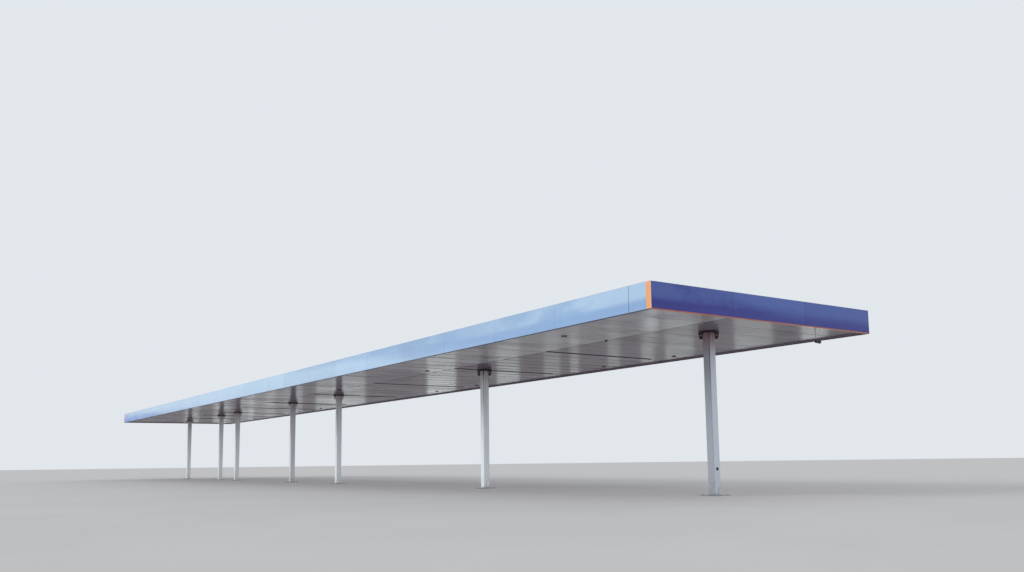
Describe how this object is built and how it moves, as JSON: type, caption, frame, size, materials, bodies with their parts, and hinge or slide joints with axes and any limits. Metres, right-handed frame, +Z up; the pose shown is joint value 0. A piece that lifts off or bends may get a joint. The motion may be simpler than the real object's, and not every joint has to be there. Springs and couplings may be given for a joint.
{
  "type": "filling station canopy, 1:2 scale model",
  "caption": "Long flat canopy roof with glossy blue panelled fascia and grey metal soffit on a single row of square columns, for sheltering vehicles.",
  "frame": {"origin": "centre of the roof's outline on the ground, at the underside of the base plates", "axes": "+X along the roof towards the end with the shorter overhang and the first column, +Y across the roof from the front fascia to the rear one, +Z up"},
  "size_m": [37, 5.1, 3.13],
  "materials": {
    "column_paint": "satin grey-white paint, browned near the heads",
    "galvanised_steel": "matt zinc grey",
    "dark_metal": "dark brown-grey paint",
    "roof_sheet": "mill-finish standing-seam sheet",
    "sky_blue_panel": "glossy sky-blue coating",
    "indigo_panel": "glossy indigo coating",
    "orange_strip": "bright orange coating",
    "pale_bead": "pale cream coating",
    "terracotta_strip": "terracotta-orange coating",
    "soffit_metal": "semi-gloss grey coating with soft reflections"
  },
  "bodies": {
    "root": {"column_1": "column_paint", "column_2": "column_paint", "column_3": "column_paint", "column_4": "column_paint", "column_5": "column_paint", "column_6": "column_paint", "column_7": "column_paint", "base_plates": "galvanised_steel", "head_plates": "dark_metal", "head_gussets": "dark_metal", "neck_posts": "galvanised_steel", "spine_beam": "galvanised_steel", "cross_arms": "galvanised_steel", "purlins_front": "galvanised_steel", "purlins_rear": "galvanised_steel", "roof_deck_front": "roof_sheet", "roof_deck_rear": "roof_sheet", "valley_gutter": "roof_sheet", "fascia_front": "sky_blue_panel", "fascia_rear": "sky_blue_panel", "fascia_end_near": "indigo_panel", "fascia_end_far": "indigo_panel", "corner_strips": "orange_strip", "corner_beads": "pale_bead", "rear_corner_covers": "indigo_panel", "end_foot_strips": "terracotta_strip", "long_foot_trims": "dark_metal", "fascia_frame_front": "galvanised_steel", "fascia_frame_rear": "galvanised_steel", "fascia_frame_ends": "galvanised_steel", "coping_front": "sky_blue_panel", "coping_rear": "sky_blue_panel", "coping_ends": "indigo_panel", "soffit_front_band": "soffit_metal", "soffit_field": "soffit_metal", "soffit_joint_strip": "dark_metal", "soffit_edge_trim": "dark_metal", "cross_channels": "dark_metal", "soffit_lamps": "dark_metal", "joint_sensors": "dark_metal", "pendant_rod": "dark_metal", "pendant_head": "dark_metal", "column_outlet": "dark_metal"}
  },
  "joints": []
}
